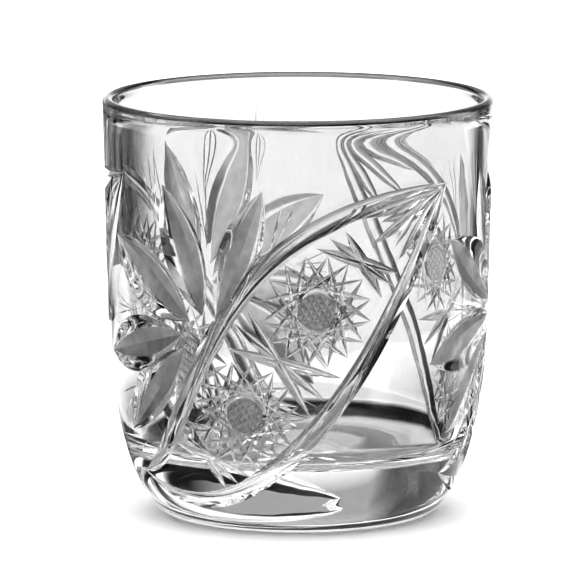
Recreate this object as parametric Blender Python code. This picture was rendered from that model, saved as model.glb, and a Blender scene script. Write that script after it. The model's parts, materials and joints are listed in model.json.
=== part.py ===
"""Cut-crystal whiskey tumbler, one piece of glass 90 mm high.

A thick-based glass body is turned round +Z and cut with mitre wheels, as a glass cutter does it.
The decoration repeats three times round the wall. Each repeat has a spray of five leaves and a
long leaf-shaped panel, bordered by two curved mitres, that holds two round buttons and three
crossings of straight mitres. A star of mitres is cut under the base.
Lengths are in metres. A place on the wall is an angle in degrees, 0 on the -Y side and growing
towards +X, and a height in millimetres.
"""
import bmesh
import bpy
from math import cos, hypot, pi, radians, sin, sqrt, tan
from mathutils import Vector

MM = 0.001

# Driving dimensions of the body.
HEIGHT = 0.090
FOOT_RADIUS = 0.027
SHOULDER_BULGE = 0.01282        # how far the rounded lower wall swells beyond the foot
SHOULDER_HEIGHT = 0.043         # where the rounding ends and the plain flare goes on
FLARE = 0.0242                  # radius gained for each metre of height
RIM_ROUNDING = 0.0011
BASE_THICKNESS = 0.0145
CAVITY_CORNER = 0.005           # fillet between the cavity's floor and its wall
CAVITY = ((0.0335, 0.0200), (0.0355, 0.0330), (0.0370, 0.0500),
          (0.0378, 0.0680), (0.0385, 0.0800))     # radius and height up the cavity's wall
CAVITY_MOUTH = 0.0395

REPEATS = 3
TURN_STEPS = 72                 # facets round the body

# The wheel's edges, as half angles of the cut.
MITRE_HALF_ANGLE = radians(50)
LEAF_FLANK_ANGLE = radians(52)
CUTTER_STANDS_PROUD = 0.0010    # how far each cutter reaches outside the glass
LEAST_SCALE = 0.03              # size of a cut at its very tips, against its middle

# Leaves: tip and root, as (angle, height), from the upper right round to the lower left.
LEAVES = (
    ((-10.5, 75.0), (-25.0, 48.0)),
    ((-43.5, 75.0), (-29.5, 48.0)),
    ((-68.5, 62.5), (-34.0, 46.5)),
    ((-76.5, 36.5), (-37.0, 43.5)),
    ((-65.5, 20.5), (-36.0, 40.5)),
)
LEAF_HALF_WIDTH = 0.0052
LEAF_FLANK_DEPTH = 0.0011
LEAF_DEPTH = 0.0019
LEAF_STEPS = 8

# Panel borders, as four Bezier points (angle, height) from the lower left tip to the upper right.
PANEL_TIPS = ((-64.0, 11.5), (49.0, 75.0))
UPPER_BORDER = (PANEL_TIPS[0], (-24.5, 16.8), (-37.4, 72.4), PANEL_TIPS[1])
LOWER_BORDER = (PANEL_TIPS[0], (-3.5, -8.6), (24.6, 44.3), PANEL_TIPS[1])
BORDER_DEPTH = 0.0017
BORDER_STEPS = 22

# Crossings of straight mitres: the middle one, and the upper one that the lower one mirrors.
PANEL_CENTRE = (-5.5, 38.3)
CENTRE_MITRES = (((-15.0, 49.5), (3.8, 26.8)),
                 ((-22.0, 41.5), (13.0, 35.2)),
                 ((-19.0, 46.7), (8.3, 30.2)))
UPPER_MITRES = (((14.0, 66.5), (25.5, 52.0)),
                ((5.5, 63.0), (31.0, 57.0)),
                ((9.5, 65.0), (29.0, 54.5)))
MITRE_DEPTH = 0.0010
MITRE_STEPS = 6

# Round buttons in the panel, each inside a ring groove.
BUTTONS = ((5.5, 49.5), (-16.8, 26.8))
BUTTON_RADIUS = 0.0042
BUTTON_RING_DEPTH = 0.0005
BUTTON_STEPS = 20

# Star under the base.
STAR_POINTS = 16
STAR_INNER = 0.0015
STAR_OUTER = 0.0220
STAR_DEPTH = 0.0022
STAR_LAND = 0.0020              # width of the inner part of the flat foot, outside the star


def clear_scene():
    for thing in list(bpy.data.objects):
        bpy.data.objects.remove(thing)


def glass_material():
    """Clear lead crystal."""
    material = bpy.data.materials.new("lead_crystal")
    material.use_nodes = True
    shader = material.node_tree.nodes["Principled BSDF"]
    shader.inputs["Base Color"].default_value = (0.93, 0.95, 0.95, 1.0)
    shader.inputs["Metallic"].default_value = 0.0
    shader.inputs["Roughness"].default_value = 0.02
    shader.inputs["IOR"].default_value = 1.54
    shader.inputs["Transmission Weight"].default_value = 1.0
    return material


def add_mesh(name, points, faces):
    mesh = bpy.data.meshes.new(name)
    mesh.from_pydata([tuple(p) for p in points], [], faces)
    shape = bmesh.new()
    shape.from_mesh(mesh)
    bmesh.ops.recalc_face_normals(shape, faces=shape.faces)
    shape.to_mesh(mesh)
    shape.free()
    thing = bpy.data.objects.new(name, mesh)
    bpy.context.scene.collection.objects.link(thing)
    return thing


# ---- the wall, which every cut is laid out on ----

def wall_radius(height):
    """Outer radius: a quarter ellipse from the foot to the shoulder, plus a slight flare."""
    up = min(max(height / SHOULDER_HEIGHT, 0.0), 1.0)
    return FOOT_RADIUS + SHOULDER_BULGE * sqrt(1 - (1 - up) ** 2) + FLARE * height


def wall_slope(height):
    step = 0.0002
    return (wall_radius(height + step) - wall_radius(height - step)) / (2 * step)


def wall_point(angle, height, depth):
    """The point at this angle, in radians, and height, sunk by depth along the wall's normal."""
    slope = wall_slope(height)
    steep = hypot(1.0, slope)
    radius = wall_radius(height) - depth / steep
    return Vector((radius * sin(angle), -radius * cos(angle), height + depth * slope / steep))


def on_wall(place):
    """An (angle in degrees, height in millimetres) pair as radians and metres."""
    return radians(place[0]), place[1] * MM


# ---- cutters ----

def sweep_cutter(name, line, scales, section):
    """A cutter that runs along line, a list of (angle, height), with section(scale) across it.

    A section is a list of (offset to the left, depth) from one upper edge to the other.
    """
    rings = []
    for i, (angle, height) in enumerate(line):
        before, after = line[max(i - 1, 0)], line[min(i + 1, len(line) - 1)]
        rise = hypot(1.0, wall_slope(height))
        along = (after[0] - before[0]) * wall_radius(height)
        up = (after[1] - before[1]) * rise
        length = hypot(along, up)
        across = (-up / length, along / length)
        ring = []
        for offset, depth in section(scales[i]):
            ring.append(wall_point(angle + offset * across[0] / wall_radius(height),
                                   height + offset * across[1] / rise, depth))
        rings.append(ring)
    return add_tube(name, rings, closed=False)


def add_tube(name, rings, closed):
    """Joins rings of points into one closed skin, with end caps unless the tube closes on itself."""
    count = len(rings[0])
    points = [p for ring in rings for p in ring]
    faces = []
    for i in range(len(rings) if closed else len(rings) - 1):
        a, b = i * count, (i + 1) % len(rings) * count
        for k in range(count):
            nxt = (k + 1) % count
            faces += [(a + k, a + nxt, b + nxt), (a + k, b + nxt, b + k)]
    if not closed:
        last = (len(rings) - 1) * count
        for k in range(1, count - 1):
            faces += [(0, k + 1, k), (last, last + k, last + k + 1)]
    return add_mesh(name, points, faces)


def mitre_section(depth, half_angle):
    """A V cut. Its angle stays the same, so it narrows as it gets shallower."""
    def section(scale):
        top = -CUTTER_STANDS_PROUD
        half = (depth * scale - top) * tan(half_angle)
        return [(half, top), (0.0, depth * scale), (-half, top)]
    return section


def leaf_section(scale):
    """A broad, shallow V floor between two steeper flanks."""
    top = -CUTTER_STANDS_PROUD
    edge = LEAF_HALF_WIDTH * scale
    lean = tan(LEAF_FLANK_ANGLE)
    floor = edge - LEAF_FLANK_DEPTH * scale * lean
    return [(edge - top * lean, top), (floor, LEAF_FLANK_DEPTH * scale),
            (0.0, LEAF_DEPTH * scale),
            (-floor, LEAF_FLANK_DEPTH * scale), (-edge + top * lean, top)]


def plunge(count):
    """Depth along a cut from a round wheel: nothing at the tips, all of it in the middle."""
    return [max(1 - (2 * i / count - 1) ** 2, LEAST_SCALE) for i in range(count + 1)]


def straight(start, end, count):
    (a0, h0), (a1, h1) = on_wall(start), on_wall(end)
    return [(a0 + (a1 - a0) * i / count, h0 + (h1 - h0) * i / count) for i in range(count + 1)]


def bezier(places, count):
    p = [on_wall(place) for place in places]
    line = []
    for i in range(count + 1):
        t = i / count
        w = ((1 - t) ** 3, 3 * (1 - t) ** 2 * t, 3 * (1 - t) * t * t, t ** 3)
        line.append(tuple(sum(w[k] * p[k][axis] for k in range(4)) for axis in (0, 1)))
    return line


def turned(line, repeat):
    return [(angle + 2 * pi * repeat / REPEATS, height) for angle, height in line]


def opposite(place):
    """The place across the panel's centre."""
    return 2 * PANEL_CENTRE[0] - place[0], 2 * PANEL_CENTRE[1] - place[1]


def leaf_cutters(repeat):
    made = []
    for number, (tip, root) in enumerate(LEAVES, start=1):
        line = turned(straight(root, tip, LEAF_STEPS), repeat)
        made.append(sweep_cutter(f"leaf_cutter_{repeat}_{number}", line, plunge(LEAF_STEPS),
                                 leaf_section))
    return made


def border_cutters(repeat):
    made = []
    for name, places in (("upper", UPPER_BORDER), ("lower", LOWER_BORDER)):
        line = turned(bezier(places, BORDER_STEPS), repeat)
        scales = [max(1 - (2 * i / BORDER_STEPS - 1) ** 4, LEAST_SCALE)
                  for i in range(BORDER_STEPS + 1)]
        made.append(sweep_cutter(f"{name}_border_cutter_{repeat}", line, scales,
                                 mitre_section(BORDER_DEPTH, MITRE_HALF_ANGLE)))
    return made


def crossing_cutters(repeat):
    lower = tuple((opposite(b), opposite(a)) for a, b in UPPER_MITRES)
    made = []
    for number, (start, end) in enumerate(CENTRE_MITRES + UPPER_MITRES + lower, start=1):
        line = turned(straight(start, end, MITRE_STEPS), repeat)
        made.append(sweep_cutter(f"mitre_cutter_{repeat}_{number}", line, plunge(MITRE_STEPS),
                                 mitre_section(MITRE_DEPTH, MITRE_HALF_ANGLE)))
    return made


def button_cutters(repeat):
    made = []
    section = mitre_section(BUTTON_RING_DEPTH, MITRE_HALF_ANGLE)(1.0)
    for number, place in enumerate(BUTTONS, start=1):
        (angle, height), = turned([on_wall(place)], repeat)
        radius_here, rise = wall_radius(height), hypot(1.0, wall_slope(height))
        rings = []
        for i in range(BUTTON_STEPS):
            way = 2 * pi * i / BUTTON_STEPS
            rings.append([
                wall_point(angle + (BUTTON_RADIUS + offset) * cos(way) / radius_here,
                           height + (BUTTON_RADIUS + offset) * sin(way) / rise, depth)
                for offset, depth in section])
        made.append(add_tube(f"button_cutter_{repeat}_{number}", rings, closed=True))
    return made


def star_cutters():
    """Radial mitres under the base, deepest halfway along."""
    made = []
    section = mitre_section(STAR_DEPTH, MITRE_HALF_ANGLE)
    stations = 4
    for point in range(STAR_POINTS):
        way = 2 * pi * point / STAR_POINTS
        outward, across = Vector((cos(way), sin(way), 0)), Vector((-sin(way), cos(way), 0))
        rings = []
        for i, scale in enumerate(plunge(stations)):
            reach = STAR_INNER + (STAR_OUTER - STAR_INNER) * i / stations
            rings.append([outward * reach + across * offset + Vector((0, 0, depth))
                          for offset, depth in section(scale)])
        made.append(add_tube(f"star_cutter_{point}", rings, closed=False))
    return made


# ---- the body ----

def body_profile():
    """Half of the body's section as (radius, height), from the base's centre round to the cavity's."""
    foot_steps, wall_steps, lip_steps, corner_steps = 7, 5, 4, 4
    outline = [(0.0, 0.0), (STAR_OUTER + STAR_LAND, 0.0)]
    for i in range(foot_steps):
        height = SHOULDER_HEIGHT * (1 - cos(pi / 2 * i / foot_steps))
        outline.append((wall_radius(height), height))
    rim_start = HEIGHT - RIM_ROUNDING
    for i in range(wall_steps):
        height = SHOULDER_HEIGHT + (rim_start - SHOULDER_HEIGHT) * i / (wall_steps - 1)
        outline.append((wall_radius(height), height))
    outer, inner = wall_radius(rim_start), CAVITY_MOUTH
    middle, reach = (outer + inner) / 2, (outer - inner) / 2
    for i in range(1, lip_steps):
        way = pi * i / lip_steps
        outline.append((middle + reach * cos(way), rim_start + RIM_ROUNDING * sin(way)))
    outline.append((inner, rim_start))
    outline += list(reversed(CAVITY))
    corner_radius = CAVITY[0][0] - CAVITY_CORNER
    for i in range(1, corner_steps + 1):
        way = pi / 2 * i / corner_steps
        outline.append((corner_radius + CAVITY_CORNER * cos(way),
                        BASE_THICKNESS + CAVITY_CORNER * (1 - sin(way))))
    outline.append((0.0, BASE_THICKNESS))
    return outline


def turned_body(material):
    outline = body_profile()
    points, faces, rows = [], [], []
    for radius, height in outline:
        if radius == 0.0:
            rows.append([len(points)] * TURN_STEPS)
            points.append((0.0, 0.0, height))
            continue
        rows.append([len(points) + i for i in range(TURN_STEPS)])
        points += [(radius * sin(2 * pi * i / TURN_STEPS), -radius * cos(2 * pi * i / TURN_STEPS),
                    height) for i in range(TURN_STEPS)]
    for lower, upper in zip(rows, rows[1:]):
        for i in range(TURN_STEPS):
            k = (i + 1) % TURN_STEPS
            corners = (lower[i], lower[k], upper[k], upper[i])
            faces.append(tuple(dict.fromkeys(corners)))
    body = add_mesh("tumbler", points, faces)
    body.data.materials.append(material)
    return body


def cut(body, cutters):
    """Takes every cutter from the body with one Boolean."""
    wheels = bpy.data.collections.new("cutters")
    bpy.context.scene.collection.children.link(wheels)
    for cutter in cutters:
        bpy.context.scene.collection.objects.unlink(cutter)
        wheels.objects.link(cutter)
        cutter.hide_render = True
        cutter.display_type = 'WIRE'
    grind = body.modifiers.new("cuts", 'BOOLEAN')
    grind.operation = 'DIFFERENCE'
    grind.operand_type = 'COLLECTION'
    grind.collection = wheels
    grind.solver = 'EXACT'


def build():
    clear_scene()
    body = turned_body(glass_material())
    cutters = star_cutters()
    for repeat in range(REPEATS):
        cutters += leaf_cutters(repeat) + border_cutters(repeat)
        cutters += crossing_cutters(repeat) + button_cutters(repeat)
    cut(body, cutters)
    body.data.shade_smooth()
    body.data.set_sharp_from_angle(angle=radians(20))


build()
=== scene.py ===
import json
from math import cos, degrees, hypot, pi, radians, sin, sqrt, tan

import bpy
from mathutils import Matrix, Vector

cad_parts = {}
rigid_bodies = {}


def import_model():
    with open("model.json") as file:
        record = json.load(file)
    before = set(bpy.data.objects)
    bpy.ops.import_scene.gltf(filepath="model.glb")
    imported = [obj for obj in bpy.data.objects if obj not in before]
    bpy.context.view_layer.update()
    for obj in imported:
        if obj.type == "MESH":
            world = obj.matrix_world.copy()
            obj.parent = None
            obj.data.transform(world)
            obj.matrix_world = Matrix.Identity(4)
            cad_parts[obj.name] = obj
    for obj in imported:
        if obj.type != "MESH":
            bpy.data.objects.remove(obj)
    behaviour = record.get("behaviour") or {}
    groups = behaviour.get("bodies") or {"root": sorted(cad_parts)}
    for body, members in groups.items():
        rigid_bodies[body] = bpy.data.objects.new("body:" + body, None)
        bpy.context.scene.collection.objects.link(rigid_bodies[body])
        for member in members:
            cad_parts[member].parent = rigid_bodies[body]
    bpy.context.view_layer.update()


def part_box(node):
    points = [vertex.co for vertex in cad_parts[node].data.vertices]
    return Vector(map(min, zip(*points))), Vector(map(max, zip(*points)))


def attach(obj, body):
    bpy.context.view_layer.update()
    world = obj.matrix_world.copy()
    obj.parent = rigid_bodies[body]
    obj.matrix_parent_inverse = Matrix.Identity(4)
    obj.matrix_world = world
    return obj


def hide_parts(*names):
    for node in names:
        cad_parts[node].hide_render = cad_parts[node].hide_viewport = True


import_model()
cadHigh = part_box("tumbler")[1]
fullHeight = 90.0
mm = cadHigh.z / fullHeight        # every size below is in millimetres of a tumbler this high
aroundWall = 3             # the pattern comes this many times round the wall
scene = bpy.context.scene


def say(text):
    print("tumbler:", text, flush=True)


def hexColour(code):       # an sRGB hex value as the linear colour that shaders take
    channels = [int(code[i:i + 2], 16) / 255 for i in (1, 3, 5)]
    return tuple(c / 12.92 if c <= 0.04045 else ((c + 0.055) / 1.055) ** 2.4 for c in channels) + (1.0,)


def addNode(tree, kind, inputs=None, **settings):
    node = tree.nodes.new(kind)
    for name, value in settings.items():
        setattr(node, name, value)
    for name, value in (inputs or {}).items():
        socket = node.inputs[name]
        if isinstance(value, bpy.types.NodeSocket):
            tree.links.new(value, socket)
        else:
            socket.default_value = value
    return node


# ---- the vessel's outline ----

vessel = dict(
    footRadius=27.0,       # flat underside
    bulge=12.82,           # how far the rounded lower wall swells past the foot
    shoulder=43.0,         # height where the rounding has run out
    flare=0.0242,          # radius gained per millimetre of height
    height=fullHeight,
    floor=14.5,            # top of the thick base
    cornerRadius=5.0,      # between the cavity's floor and its wall
    cavity=[(33.5, 19.5), (35.5, 33), (37.0, 50), (37.8, 68), (38.3, 80), (38.75, 86.5)],
    mouth=39.6,            # the cavity's radius where the lip begins
    lip=1.0,               # height of the rounded lip
    segments=192,
)
outlineSteps = dict(under=6, foot=30, wall=26, lip=10, cavity=6, corner=10, floor=6)


def wallRadius(height):
    up = min(max(height / vessel["shoulder"], 0), 1)
    return vessel["footRadius"] + vessel["bulge"] * sqrt(1 - (1 - up) ** 2) + vessel["flare"] * height


def wallSlope(height, step=0.05):
    return (wallRadius(height + step) - wallRadius(height - step)) / (2 * step)


def wallPoint(angle, height, depth=0.0):       # angle in degrees, 0 at -Y, growing towards +X
    slope = wallSlope(height)
    steep = hypot(1, slope)
    radius = wallRadius(height) - depth / steep
    return Vector((radius * sin(radians(angle)), -radius * cos(radians(angle)),
                   height + depth * slope / steep)) * mm


def smoothThrough(points, steps):              # Catmull-Rom through the points
    ends = [tuple(2 * a - b for a, b in zip(points[0], points[1]))]
    ends += list(points) + [tuple(2 * a - b for a, b in zip(points[-1], points[-2]))]
    line = []
    for i in range(1, len(ends) - 2):
        for k in range(steps):
            t = k / steps
            line.append(tuple(0.5 * (2 * b + (c - a) * t + (2 * a - 5 * b + 4 * c - d) * t * t
                                     + (3 * b - a - 3 * c + d) * t ** 3)
                              for a, b, c, d in zip(*ends[i - 1:i + 3])))
    return line + [points[-1]]


def vesselOutline():       # (radius, height) from the middle of the underside round to the cavity's
    v, steps = vessel, outlineSteps
    outline = [(v["footRadius"] * k / steps["under"], 0.0) for k in range(steps["under"])]
    for k in range(steps["foot"]):
        height = v["shoulder"] * (1 - cos(pi / 2 * k / steps["foot"]))
        outline.append((wallRadius(height), height))
    rimStart = v["height"] - v["lip"]
    for k in range(steps["wall"] + 1):
        height = v["shoulder"] + (rimStart - v["shoulder"]) * k / steps["wall"]
        outline.append((wallRadius(height), height))
    middle = (wallRadius(rimStart) + v["mouth"]) / 2
    reach = (wallRadius(rimStart) - v["mouth"]) / 2
    for k in range(1, steps["lip"]):
        turn = pi * k / steps["lip"]
        outline.append((middle + reach * cos(turn), rimStart + v["lip"] * sin(turn)))
    outline += smoothThrough([(v["mouth"], rimStart)] + v["cavity"][::-1], steps["cavity"])
    inner = v["cavity"][0][0] - v["cornerRadius"]
    for k in range(1, steps["corner"] + 1):
        turn = pi / 2 * k / steps["corner"]
        outline.append((inner + v["cornerRadius"] * cos(turn),
                        v["floor"] + v["cornerRadius"] * (1 - sin(turn))))
    outline += [(inner * (1 - k / steps["floor"]), v["floor"]) for k in range(1, steps["floor"] + 1)]
    return outline


def lineObject(name, points, closed=False, values=None):   # edges only, with named values at the points
    mesh = bpy.data.meshes.new(name)
    count = len(points)
    edges = [(i, (i + 1) % count) for i in range(count if closed else count - 1)]
    mesh.from_pydata([tuple(p) for p in points], edges, [])
    for label, numbers in (values or {}).items():
        mesh.attributes.new(label, 'FLOAT', 'POINT').data.foreach_set("value", numbers)
    return bpy.data.objects.new(name, mesh)


# ---- Geometry Nodes: turning, cutting and grinding ----

def newTree(name, inputs):
    tree = bpy.data.node_groups.new(name, 'GeometryNodeTree')
    tree.interface.new_socket("Geometry", in_out='INPUT', socket_type='NodeSocketGeometry')
    tree.interface.new_socket("Geometry", in_out='OUTPUT', socket_type='NodeSocketGeometry')
    for label, (kind, value) in inputs.items():
        socket = tree.interface.new_socket(label, in_out='INPUT', socket_type='NodeSocket' + kind)
        if value is not None:
            socket.default_value = value
    return tree, tree.nodes.new('NodeGroupInput').outputs


def finishTree(tree, geometry, material, selection=None, second=None):
    real = addNode(tree, 'GeometryNodeRealizeInstances', {"Geometry": geometry})
    last = addNode(tree, 'GeometryNodeSetMaterial', {"Geometry": real.outputs[0], "Material": material})
    if selection is not None:
        last = addNode(tree, 'GeometryNodeSetMaterial',
                       {"Geometry": last.outputs[0], "Selection": selection, "Material": second})
    tree.links.new(last.outputs[0], tree.nodes.new('NodeGroupOutput').inputs[0])


def useTree(thing, tree, **values):            # adds the tree as a modifier and sets its named inputs
    modifier = thing.modifiers.new(tree.name, 'NODES')
    modifier.node_group = tree
    for item in tree.interface.items_tree:
        if item.in_out == 'INPUT' and item.name in values:
            modifier[item.identifier] = values[item.name]
    return modifier


def plainMesh(thing, name):                    # the evaluated result, as a mesh without modifiers
    bpy.context.view_layer.update()
    result = thing.evaluated_get(bpy.context.evaluated_depsgraph_get())
    mesh = bpy.data.meshes.new_from_object(result)
    mesh.name = name
    return mesh


turning = dict(hub=60.0, weld=0.002)           # the ring that the section is swept along, and the weld


def buildTurnTree():       # sweeps a half section round the axis
    tree, given = newTree("turned on axis", {"Segments": ('Int', vessel["segments"]),
                                             "Hub": ('Float', turning["hub"] * mm),
                                             "Weld": ('Float', turning["weld"] * mm),
                                             "Material": ('Material', None)})
    section = addNode(tree, 'GeometryNodeMeshToCurve', {"Mesh": given["Geometry"]})
    ring = addNode(tree, 'GeometryNodeCurvePrimitiveCircle',
                   {"Resolution": given["Segments"], "Radius": given["Hub"]})
    upright = addNode(tree, 'GeometryNodeSetCurveNormal', {"Curve": ring.outputs[0]}, mode='Z_UP')
    swept = addNode(tree, 'GeometryNodeCurveToMesh', {"Curve": upright.outputs[0],
                                                      "Profile Curve": section.outputs[0]})
    welded = addNode(tree, 'GeometryNodeMergeByDistance', {"Geometry": swept.outputs[0],
                                                           "Distance": given["Weld"]})
    finishTree(tree, welded.outputs[0], given["Material"])
    return tree


mattFrom = 0.9             # a face is matt when its corners' mean value is above this


def buildCutTree():        # one cut: a wheel's section swept along a line on the wall, then repeated
    tree, given = newTree("wheel cut", {"Wheel": ('Object', None), "Wall": ('Object', None),
                                        "Repeats": ('Int', aroundWall), "Material": ('Material', None),
                                        "Matt": ('Material', None)})
    wall = addNode(tree, 'GeometryNodeObjectInfo', {"Object": given["Wall"]})
    wheel = addNode(tree, 'GeometryNodeObjectInfo', {"Object": given["Wheel"]})
    section = addNode(tree, 'GeometryNodeMeshToCurve', {"Mesh": wheel.outputs["Geometry"]})
    path = addNode(tree, 'GeometryNodeMeshToCurve', {"Mesh": given["Geometry"]})
    normal = addNode(tree, 'GeometryNodeInputNormal')
    facing = addNode(tree, 'GeometryNodeSampleNearestSurface',
                     {"Mesh": wall.outputs["Geometry"], "Value": normal.outputs["Normal"]},
                     data_type='FLOAT_VECTOR')
    upright = addNode(tree, 'GeometryNodeSetCurveNormal',
                      {"Curve": path.outputs[0], "Normal": facing.outputs["Value"]}, mode='FREE')
    size = addNode(tree, 'GeometryNodeInputNamedAttribute', {"Name": "size"}, data_type='FLOAT')
    swept = addNode(tree, 'GeometryNodeCurveToMesh',
                    {"Curve": upright.outputs[0], "Profile Curve": section.outputs[0],
                     "Scale": size.outputs[0], "Fill Caps": True})
    turns = addNode(tree, 'GeometryNodeMeshLine', {"Count": given["Repeats"], "Offset": (0, 0, 0)})
    index = addNode(tree, 'GeometryNodeInputIndex')
    step = addNode(tree, 'ShaderNodeMath', {0: 2 * pi, 1: given["Repeats"]}, operation='DIVIDE')
    turn = addNode(tree, 'ShaderNodeMath', {0: index.outputs[0], 1: step.outputs[0]},
                   operation='MULTIPLY')
    spin = addNode(tree, 'ShaderNodeCombineXYZ', {"Z": turn.outputs[0]})
    spread = addNode(tree, 'GeometryNodeInstanceOnPoints',
                     {"Points": turns.outputs[0], "Instance": swept.outputs[0],
                      "Rotation": spin.outputs[0]})
    marked = addNode(tree, 'GeometryNodeInputNamedAttribute', {"Name": "matt"}, data_type='FLOAT')
    ground = addNode(tree, 'ShaderNodeMath', {0: marked.outputs[0], 1: mattFrom},
                     operation='GREATER_THAN')
    finishTree(tree, spread.outputs[0], given["Material"], ground.outputs[0], given["Matt"])
    return tree


def buildGrindTree():      # takes every cut from the turned glass
    tree, given = newTree("ground", {"Cuts": ('Collection', None)})
    cuts = addNode(tree, 'GeometryNodeCollectionInfo', {"Collection": given["Cuts"],
                                                        "Separate Children": True})
    ground = addNode(tree, 'GeometryNodeMeshBoolean', {"Mesh 1": given["Geometry"],
                                                       "Mesh 2": cuts.outputs[0]},
                     operation='DIFFERENCE', solver='MANIFOLD')
    real = addNode(tree, 'GeometryNodeRealizeInstances', {"Geometry": ground.outputs[0]})
    tree.links.new(real.outputs[0], tree.nodes.new('NodeGroupOutput').inputs[0])
    return tree


# ---- materials ----

def newMaterial(name):
    material = bpy.data.materials.new(name)
    material.use_nodes = True
    tree = material.node_tree
    return material, tree, tree.nodes["Principled BSDF"]


crystal = dict(            # each noise is its size in millimetres and its detail
    # the second tint is painted shade, darkening the rounded lip
    tint="#e0e0e0", lipPaintedShadeTint="#505050", ior=1.545, roughness=0.0,
    wave=(7.0, 1.0), waveHeight=0.022,
    mattDark="#909090", mattLight="#aeaeae", mattRoughness=(0.36, 0.48),
    cloud=(2.2, 3.0), cloudSpan=(0.35, 0.65),
    grit=(0.28, 2.0), gritHeight=0.010,
)


def addNoise(tree, size, detail):              # noise whose blobs are about this many millimetres across
    place = addNode(tree, 'ShaderNodeTexCoord')
    return addNode(tree, 'ShaderNodeTexNoise',
                   {"Vector": place.outputs["Object"], "Scale": 1 / (size * mm), "Detail": detail,
                    "Roughness": 0.5})


def addBump(tree, shader, noise, height):
    bump = addNode(tree, 'ShaderNodeBump', {"Height": noise.outputs[0], "Strength": 1.0,
                                            "Distance": height * mm})
    tree.links.new(bump.outputs[0], shader.inputs["Normal"])


def clearCrystal(name, tint):
    # 24% lead crystal, blown, cut and acid polished: colourless and bright, with a higher index than
    # window glass, so each facet bends what lies behind it; the fire and the polish leave a faint
    # ripple in what shows through
    material, tree, shader = newMaterial(name)
    # the tint is the glass's own tone, but for the lip it is painted shade
    shader.inputs["Base Color"].default_value = hexColour(tint)
    shader.inputs["Roughness"].default_value = crystal["roughness"]
    shader.inputs["IOR"].default_value = crystal["ior"]
    shader.inputs["Transmission Weight"].default_value = 1.0
    addBump(tree, shader, addNoise(tree, *crystal["wave"]), crystal["waveHeight"])
    return material


def mattCrystal():
    # the same glass as a fine stone wheel leaves it, unpolished: a grey satin that scatters what passes,
    # a little cloudy from stroke to stroke; the grit is several times coarser than real, so that it shows
    material, tree, shader = newMaterial("lead crystal matt")
    shader.inputs["IOR"].default_value = crystal["ior"]
    shader.inputs["Transmission Weight"].default_value = 1.0
    cloud = addNoise(tree, *crystal["cloud"])
    tone = addNode(tree, 'ShaderNodeValToRGB', {"Fac": cloud.outputs[0]})
    codes = crystal["mattDark"], crystal["mattLight"]
    for step, position, code in zip(tone.color_ramp.elements, crystal["cloudSpan"], codes):
        step.position = position
        step.color = hexColour(code)
    tree.links.new(tone.outputs["Color"], shader.inputs["Base Color"])
    low, high = crystal["mattRoughness"]
    satin = addNode(tree, 'ShaderNodeMapRange',
                    {"Value": cloud.outputs[0], "To Min": low, "To Max": high})
    tree.links.new(satin.outputs[0], shader.inputs["Roughness"])
    addBump(tree, shader, addNoise(tree, *crystal["grit"]), crystal["gritHeight"])
    return material


polished = clearCrystal("lead crystal polished", crystal["tint"])
matt = mattCrystal()
# the lip is the same glass with painted shade: a dark tint in place of how dark it looks edge on, where
# light runs along the whole wall
lipPaintedShade = clearCrystal("lead crystal lip with painted shade", crystal["lipPaintedShadeTint"])

# ---- the wheels' sections, as (height over the wall, offset): the wheel's edge points inwards ----

proud = 0.7                # how far a cutter reaches outside the glass


def wheelObject(name, points, values=None):
    return lineObject(name, [Vector((x, y, 0)) * mm for x, y in points], closed=True, values=values)


def mitreWheel(name, depth, halfAngle):
    half = (depth + proud) * tan(radians(halfAngle))
    return wheelObject(name, [(proud, half), (-depth, 0), (proud, -half)])


def roundWheel(name, halfWidth, depth, roundness, steps):      # roundness 1: a sharp mitre, 2: a gutter
    section = []
    for k in range(steps + 1):
        side = 1 - 2 * k / steps
        section.append((depth * (abs(side) ** roundness - 1), halfWidth * side))
    outer = halfWidth * (1 + proud / (depth * roundness))
    return wheelObject(name, [(proud, outer)] + section + [(proud, -outer)])


def leafWheel(name, halfWidth, floorHalf, flankDepth, depth, flankSteps, arris):
    # a low ridged floor between two hollow flanks that ease out of the wall with a rounded arris
    flank = []
    for k in range(flankSteps + 1):
        t = k / flankSteps
        drop = arris * t + (1 - arris) * (1 - cos(pi * t)) / 2
        flank.append((-flankDepth * drop, halfWidth + (floorHalf - halfWidth) * t))
    lean = (halfWidth - floorHalf) / (flankDepth * arris)
    flank.insert(0, (proud, halfWidth + proud * lean))
    points = flank + [(-depth, 0)] + [(x, -y) for x, y in reversed(flank)]
    slack = 0.001
    return wheelObject(name, points, {"matt": [float(abs(y) <= floorHalf + slack) for x, y in points]})


# ---- the lines of the cuts, through places on the wall as (angle in degrees, height) ----

cuts = bpy.data.collections.new("cuts")
scene.collection.children.link(cuts)
cutTree = buildCutTree()
leastSize = 0.03           # what is left of a cut at its tips


def lensSizes(count, power=2):
    return [max(1 - abs(2 * i / count - 1) ** power, leastSize) for i in range(count + 1)]


def straight(start, end, count):
    return [tuple(a + (b - a) * i / count for a, b in zip(start, end)) for i in range(count + 1)]


def bezier(places, count):
    line = []
    for i in range(count + 1):
        t = i / count
        weights = ((1 - t) ** 3, 3 * (1 - t) ** 2 * t, 3 * (1 - t) * t * t, t ** 3)
        line.append(tuple(sum(w * p[axis] for w, p in zip(weights, places)) for axis in (0, 1)))
    return line


def addPath(name, points, sizes, wheel, wall, repeats=1, closed=False):
    path = lineObject(name, points, closed, values={"size": sizes})
    cuts.objects.link(path)
    useTree(path, cutTree, Wheel=wheel, Wall=wall, Repeats=repeats, Material=polished, Matt=matt)
    path.hide_render = True


def addCut(name, line, sizes, wheel, wall, closed=False):      # a line on the wall, all the way round
    addPath(name, [wallPoint(*place) for place in line], sizes, wheel, wall, aroundWall, closed)


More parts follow.
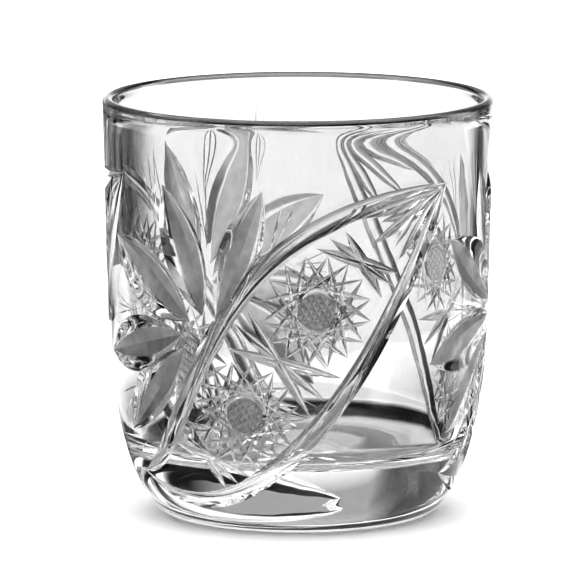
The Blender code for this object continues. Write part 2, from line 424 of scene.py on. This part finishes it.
leaves = dict(
    tipsAndRoots=[((-10.5, 75.0), (-25.0, 48.0)), ((-43.5, 75.0), (-29.5, 48.0)),
                  ((-68.5, 62.5), (-34.0, 46.5)), ((-76.5, 36.5), (-37.0, 43.5)),
                  ((-65.5, 20.5), (-36.0, 40.5))],
    widths=(0.82, 0.95, 1.06, 1.04, 0.92),
    halfWidth=6.1, floorHalf=2.9, flankDepth=1.9, depth=2.6, flankSteps=6, arris=0.4, steps=28,
)


def cutLeaves(wall):
    wheel = leafWheel("leaf wheel", *[leaves[key] for key in ("halfWidth", "floorHalf", "flankDepth",
                                                              "depth", "flankSteps", "arris")])
    for number, ((tip, root), width) in enumerate(zip(leaves["tipsAndRoots"], leaves["widths"])):
        addCut(f"leaf {number}", straight(root, tip, leaves["steps"]),
               [width * size for size in lensSizes(leaves["steps"])], wheel, wall)


panel = dict(              # a wheel is its half width, depth, roundness and steps
    tips=((-64.0, 11.5), (49.0, 75.0)), centre=(-5.5, 38.3),
    upper=((-24.5, 16.8), (-37.4, 72.4)),      # each border's two middle Bezier points
    lower=((-3.5, -8.6), (24.6, 44.3)),
    borderWheel=(2.15, 1.75, 1.8, 10), borderSteps=64, borderPower=6,
    middleMitres=[((-15.0, 49.5), (3.8, 26.8)), ((-22.0, 41.5), (13.0, 35.2)),
                  ((-19.0, 46.7), (8.3, 30.2))],
    upperMitres=[((14.0, 66.5), (25.5, 52.0)), ((5.5, 63.0), (31.0, 57.0)),
                 ((9.5, 65.0), (29.0, 54.5))],
    tipMitres=[((47.0, 74.0), (18.0, 69.0)), ((47.0, 74.0), (22.0, 63.5)),
               ((46.5, 73.5), (31.0, 60.0))],
    mitreWheel=(1.35, 1.15, 1.5, 8), mitreSteps=16,
)


def opposite(place):       # across the panel's centre
    return tuple(2 * c - p for c, p in zip(panel["centre"], place))


def cutPanel(wall):
    p = panel
    borderWheel = roundWheel("border wheel", *p["borderWheel"])
    wheel = roundWheel("mitre wheel", *p["mitreWheel"])
    low, high = p["tips"]
    for name in ("upper", "lower"):
        addCut(f"border {name}", bezier([low, *p[name], high], p["borderSteps"]),
               lensSizes(p["borderSteps"], p["borderPower"]), borderWheel, wall)
    mitres = p["middleMitres"] + p["upperMitres"] + p["tipMitres"]
    mitres += [(opposite(a), opposite(b)) for a, b in p["upperMitres"]]
    for number, (start, end) in enumerate(mitres):
        addCut(f"mitre {number}", straight(start, end, p["mitreSteps"]), lensSizes(p["mitreSteps"]),
               wheel, wall)


stars = dict(
    centres=((5.5, 49.5), (-16.8, 26.8)), points=16, skip=6,   # each chord joins points this far apart
    radius=12.0, wheel=(1.0, 0.95, 1.35, 6), steps=12,
    ringRadius=4.3, ringSize=0.6, ringSteps=48,
)
buttons = dict(radius=3.95, pitch=1.25, turns=(30, 120), linesPerSide=3, overrun=0.3, shortest=0.8,
               hatchDepth=0.24, hatchAngle=60)


def aroundPlace(centre, x, y):                 # millimetres across and up from a place on the wall
    angle, height = centre
    height += y / hypot(1, wallSlope(height))
    return angle + degrees(x / wallRadius(height)), height


def cutStar(which, centre, wheel, wall):       # chords between its points, then the ring round its button
    s = stars
    nearest = s["radius"] * cos(pi * s["skip"] / s["points"])
    reach = sqrt(s["radius"] ** 2 - nearest ** 2)
    for k in range(s["points"]):
        turn = 2 * pi * (k + 0.5) / s["points"]
        line = [aroundPlace(centre, nearest * cos(turn) - along * sin(turn),
                            nearest * sin(turn) + along * cos(turn))
                for along in [reach * (2 * i / s["steps"] - 1) for i in range(s["steps"] + 1)]]
        addCut(f"star {which} chord {k}", line, lensSizes(s["steps"]), wheel, wall)
    ring = [aroundPlace(centre, s["ringRadius"] * cos(2 * pi * k / s["ringSteps"]),
                        s["ringRadius"] * sin(2 * pi * k / s["ringSteps"]))
            for k in range(s["ringSteps"])]
    addCut(f"button ring {which}", ring, [s["ringSize"]] * s["ringSteps"], wheel, wall, closed=True)


def cutHatching(which, centre, wheel, wall):   # two sets of fine lines across the button
    for turn in buttons["turns"]:
        c, n = cos(radians(turn)), sin(radians(turn))
        for k in range(-buttons["linesPerSide"], buttons["linesPerSide"] + 1):
            off = k * buttons["pitch"]
            half = sqrt(max((buttons["radius"] + buttons["overrun"]) ** 2 - off ** 2, 0))
            if half < buttons["shortest"]:
                continue
            line = [aroundPlace(centre, along * c - off * n, along * n + off * c)
                    for along in (-half, -half / 2, 0, half / 2, half)]
            addCut(f"hatch {which} {turn} {k}", line, [1.0] * len(line), wheel, wall)


def cutStars(wall):
    wheel = roundWheel("star wheel", *stars["wheel"])
    hatchWheel = mitreWheel("hatching wheel", buttons["hatchDepth"], buttons["hatchAngle"])
    for which, centre in enumerate(stars["centres"]):
        cutStar(which, centre, wheel, wall)
        cutHatching(which, centre, hatchWheel, wall)


fans = dict(
    lines=[((-27.5, 63), (-35, 79)), ((-27.5, 63), (-31.5, 79.5)), ((-27.5, 63), (-28, 79.5)),
           ((-9, 60.5), (-4, 74)), ((-9, 60.5), (0.5, 74)), ((-9, 60.5), (6, 71)),
           ((-46, 65), (-53, 80)), ((-46, 65), (-50, 83)), ((-46, 65), (-47, 84)),
           ((-59, 47), (-70, 50)), ((-59, 47), (-70, 47.5)), ((-59, 47), (-70, 45)),
           ((-57, 31), (-70, 28)), ((-57, 31), (-72, 22)), ((-56, 19), (-67.5, 15))],
    depth=0.11, angle=58, steps=8,
)


def cutFans(wall):
    wheel = mitreWheel("fan wheel", fans["depth"], fans["angle"])
    for number, (start, end) in enumerate(fans["lines"]):
        addCut(f"fan line {number}", straight(start, end, fans["steps"]),
               lensSizes(fans["steps"]), wheel, wall)


foot = dict(points=16, inner=0.8, outer=22.0, depth=2.2, angle=50, steps=12)


def cutFoot(wall):
    wheel = mitreWheel("foot wheel", foot["depth"], foot["angle"])
    reach = foot["outer"] - foot["inner"]
    for half in range(2):                      # every other ray, then those between
        for k in range(foot["points"] // 2):
            turn = 2 * pi * (half + 2 * k) / foot["points"]
            way = Vector((cos(turn), sin(turn), 0)) * mm
            line = [way * (foot["inner"] + reach * i / foot["steps"]) for i in range(foot["steps"] + 1)]
            addPath(f"foot ray {half} {k}", line, lensSizes(foot["steps"]), wheel, wall)


shading = dict(sharpAngle=24, flat=0.9999, onFloor=0.001, lowest=0.05, highest=fullHeight - 1,
               onWall=0.02, alongWall=0.995)   # limits, in degrees, cosines and millimetres


def trueNormals(mesh):     # the wall keeps the normals of its outline where the cuts have split its faces
    mesh.shade_smooth()
    mesh.set_sharp_from_angle(angle=radians(shading["sharpAngle"]))
    normals = [tuple(n.vector) for n in mesh.corner_normals]
    for face in mesh.polygons:
        for corner in face.loop_indices:
            x, y, z = mesh.vertices[mesh.loops[corner].vertex_index].co / mm
            radius, height = hypot(x, y), z
            if face.normal.z < -shading["flat"] and height < shading["onFloor"]:
                normals[corner] = (0, 0, -1)
            elif (shading["lowest"] < height < shading["highest"]
                  and abs(radius - wallRadius(height)) < shading["onWall"]):
                slope = wallSlope(height)
                steep = hypot(1, slope)
                wall = Vector((x / radius / steep, y / radius / steep, -slope / steep))
                if face.normal.dot(wall) > shading["alongWall"]:
                    normals[corner] = tuple(wall)
    mesh.normals_split_custom_set(normals)


def setSlots(mesh):        # leaf floors and buttons matt, the rounded lip with painted shade, the rest polished
    centres = [wallPoint(angle + 360 / aroundWall * turn, height) for angle, height in stars["centres"]
               for turn in range(aroundWall)]
    lipStart = (vessel["height"] - vessel["lip"]) * mm
    ground = [face.material_index > 0 for face in mesh.polygons]
    mesh.materials.clear()
    slots = (polished, matt, lipPaintedShade)
    for material in slots:
        mesh.materials.append(material)
    for face, floor in zip(mesh.polygons, ground):
        button = any((face.center - centre).length < buttons["radius"] * mm for centre in centres)
        # faces above the lip's start take the glass with painted shade
        own = lipPaintedShade if face.center.z > lipStart else matt if floor or button else polished
        face.material_index = slots.index(own)


def makeTumbler():
    hub = turning["hub"]
    outline = lineObject("half section", [Vector((radius - hub, -height, 0)) * mm
                                          for radius, height in reversed(vesselOutline())])
    scene.collection.objects.link(outline)
    useTree(outline, buildTurnTree(), Segments=vessel["segments"], Hub=hub * mm, Material=polished)
    turned = plainMesh(outline, "blank")
    turned.shade_smooth()
    wall, blank = (bpy.data.objects.new(name, turned) for name in ("wall", "blank"))
    bpy.data.objects.remove(outline)
    say(f"blank turned, {len(turned.polygons)} faces")
    cutLeaves(wall)
    cutPanel(wall)
    cutStars(wall)
    cutFans(wall)
    cutFoot(wall)
    scene.collection.objects.link(blank)
    useTree(blank, buildGrindTree(), Cuts=cuts)
    mesh = plainMesh(blank, "cutTumbler")
    for thing in list(cuts.objects) + [wall, blank]:
        bpy.data.objects.remove(thing)
    piece = bpy.data.objects.new("cutTumbler", mesh)
    scene.collection.objects.link(piece)
    setSlots(mesh)
    trueNormals(mesh)
    triangles = sum(len(face.vertices) - 2 for face in mesh.polygons)
    say(f"tumbler cut, {triangles} triangles, materials {[m.name for m in mesh.materials]}")
    return piece


tumbler = makeTumbler()
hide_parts("tumbler")
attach(tumbler, "root")

# ---- studio: lengths from here on are in metres ----

studio = dict(              # drops are below the foot
    floorHalf=30.0, floorDrop=0.0002, floorColour="#f4f4f4", floorRoughness=0.9, floorShine=0.1,
    shadeRadius=0.17, shadeDrop=0.0001, shadeEdges=64, shadeMiddle=(0.010, 0.004), shadePaintedGlow=0.30,
    shade=((0.0, "#e0e0e0"), (0.046, "#e0e0e0"), (0.055, "#262626"),   # colour by distance from its middle: a painted glow inside, then a ring of painted shade
           (0.100, "#262626"), (0.17, "#f4f4f4")),
    sky=((0.0, 0.04), (0.62, 0.05), (0.70, 1.78), (1.0, 1.88)),        # sine of the elevation, brightness
)


def stageObject(name, points, faces, material, unseen=True):   # unseen: only glass and gloss show it
    mesh = bpy.data.meshes.new(name)
    mesh.from_pydata(points, [], faces)
    mesh.materials.append(material)
    thing = bpy.data.objects.new(name, mesh)
    scene.collection.objects.link(thing)
    if unseen:
        thing.visible_camera = False
        thing.visible_diffuse = False
        thing.visible_shadow = False
    return thing


def addRamp(tree, value, steps):               # steps are positions with linear colours
    ramp = addNode(tree, 'ShaderNodeValToRGB', {"Fac": value})
    elements = ramp.color_ramp.elements
    for k, (position, colour) in enumerate(steps):
        step = elements[k] if k < 2 else elements.new(position)
        step.position = position
        step.color = colour
    return ramp.outputs["Color"]


def setPaper(shader, roughness=1.0, shine=0.0):        # uncoated paper or card, without gloss
    shader.inputs["Roughness"].default_value = roughness
    shader.inputs["Specular IOR Level"].default_value = shine


def makeFloor():
    half = studio["floorHalf"]
    material, tree, shader = newMaterial("paper sweep")
    shader.inputs["Base Color"].default_value = hexColour(studio["floorColour"])
    setPaper(shader, studio["floorRoughness"], studio["floorShine"])
    corners = [(-half, -half, 0), (half, -half, 0), (half, half, 0), (-half, half, 0)]
    floor = stageObject("floor", corners, [(0, 1, 2, 3)], material, unseen=False)
    floor.location.z = -studio["floorDrop"]


def makeShade():           # paper only the glass sees: painted shade in a ring, a painted glow in the middle, as under a real tumbler
    radius, count = studio["shadeRadius"], studio["shadeEdges"]
    material, tree, shader = newMaterial("paper with painted shade and glow")
    place = addNode(tree, 'ShaderNodeTexCoord')
    away = addNode(tree, 'ShaderNodeVectorMath', {0: place.outputs["Object"]}, operation='LENGTH')
    colour = addRamp(tree, away.outputs["Value"],
                     [(distance, hexColour(code)) for distance, code in studio["shade"]])
    tree.links.new(colour, shader.inputs["Base Color"])
    # painted light: the paper glows in its own colour, brightest in its middle
    tree.links.new(colour, shader.inputs["Emission Color"])
    shader.inputs["Emission Strength"].default_value = studio["shadePaintedGlow"]
    setPaper(shader)
    rim = [(radius * cos(2 * pi * k / count), radius * sin(2 * pi * k / count), -studio["shadeDrop"])
           for k in range(count)]
    shade = stageObject("shade", rim, [tuple(range(count))], material)
    shade.location.x, shade.location.y = studio["shadeMiddle"]


def makeSky():             # a soft overhead light above a dim room
    world = bpy.data.worlds.new("soft studio")
    scene.world = world
    world.use_nodes = True
    tree = world.node_tree
    way = addNode(tree, 'ShaderNodeTexCoord')
    parts = addNode(tree, 'ShaderNodeSeparateXYZ', {"Vector": way.outputs["Generated"]})
    top = max(bright for height, bright in studio["sky"])
    colour = addRamp(tree, parts.outputs["Z"],
                     [(height, (bright / top,) * 3 + (1,)) for height, bright in studio["sky"]])
    background = tree.nodes["Background"]
    background.inputs["Strength"].default_value = top
    tree.links.new(colour, background.inputs["Color"])


cards = dict(              # cards and soft boxes round the tumbler: x, y of the middle, width, height, turn
    back=dict(place=(0.0, 3.0, 3.4, 0.75, 0), colour="#000000", glow=0.9),
    backUpper=dict(place=(0.0, 3.1, 4.0, 2.6, 0), colour="#000000", glow=0.38),
    front=dict(place=(0.0, -4.0, 5.0, 2.8, 0), colour="#000000", glow=0.22),
    left=dict(place=(-0.235, 0.10, 0.27, 0.085, 60), colour="#080808", glow=0.0),
    leftBack=dict(place=(-0.135, 0.225, 0.14, 0.11, 30), colour="#707070", glow=0.0),
    rightBack=dict(place=(0.19, 0.19, 0.14, 0.11, -45), colour="#080808", glow=0.0),
    softboxRight=dict(place=(2.07, 0.75, 1.1, 1.9, 110), colour="#000000", glow=2.8),
    softboxLeft=dict(place=(-2.45, -1.14, 1.8, 2.0, 65), colour="#000000", glow=2.2),
)
fadeAcross = ((0.0, 0.0), (0.22, 1.0), (0.78, 1.0), (1.0, 0.0))     # a card thins out towards its edges
fadeUp = ((0.0, 1.0), (0.6, 1.0), (1.0, 0.0))


def cardMaterial(name, card):                  # painted board, or a soft box's lit cloth
    material, tree, shader = newMaterial(name)
    shader.inputs["Base Color"].default_value = hexColour(card["colour"])
    setPaper(shader)
    shader.inputs["Emission Color"].default_value = hexColour("#ffffff")
    shader.inputs["Emission Strength"].default_value = card["glow"]
    fade = addNode(tree, 'ShaderNodeAttribute', attribute_name="fade")
    clear = addNode(tree, 'ShaderNodeBsdfTransparent')
    mixed = addNode(tree, 'ShaderNodeMixShader', {0: fade.outputs["Fac"], 1: clear.outputs[0],
                                                  2: shader.outputs[0]})
    tree.links.new(mixed.outputs[0], tree.nodes["Material Output"].inputs["Surface"])
    return material


def makeCards():
    columns = len(fadeAcross)
    faces = [(first, first + 1, first + columns + 1, first + columns)
             for row in range(len(fadeUp) - 1)
             for first in range(row * columns, (row + 1) * columns - 1)]
    for name, card in cards.items():
        x, y, width, height, turn = card["place"]
        c, n = cos(radians(turn)), sin(radians(turn))
        points, fades = [], []
        for up, upFade in fadeUp:
            for across, acrossFade in fadeAcross:
                along = (across - 0.5) * width
                points.append((x + along * c, y + along * n, up * height))
                fades.append(upFade * acrossFade)
        board = stageObject(name + " card", points, faces, cardMaterial(name + " card", card))
        board.data.attributes.new("fade", 'FLOAT', 'POINT').data.foreach_set("value", fades)


view = dict(distance=1.8, height=0.3266, tilt=8.818, lens=521.4, sensor=36, shiftX=-0.0094, farthest=100)


def makeCamera():
    data = bpy.data.cameras.new("camera")
    data.lens = view["lens"]
    data.sensor_width = view["sensor"]
    data.shift_x = view["shiftX"]
    data.clip_end = view["farthest"]
    camera = bpy.data.objects.new("camera", data)
    camera.location = (0, -view["distance"], view["height"])
    camera.rotation_euler = (radians(90 - view["tilt"]), 0, 0)
    scene.collection.objects.link(camera)
    scene.camera = camera


makeFloor()
makeShade()
makeSky()
makeCards()
makeCamera()
scene.view_settings.view_transform = 'Standard'
scene.view_settings.look = 'Very High Contrast'
glassBounces = 32          # light crosses many facets before it leaves
scene.cycles.max_bounces = glassBounces
scene.cycles.transmission_bounces = glassBounces
scene.cycles.glossy_bounces = 16
say("studio set")
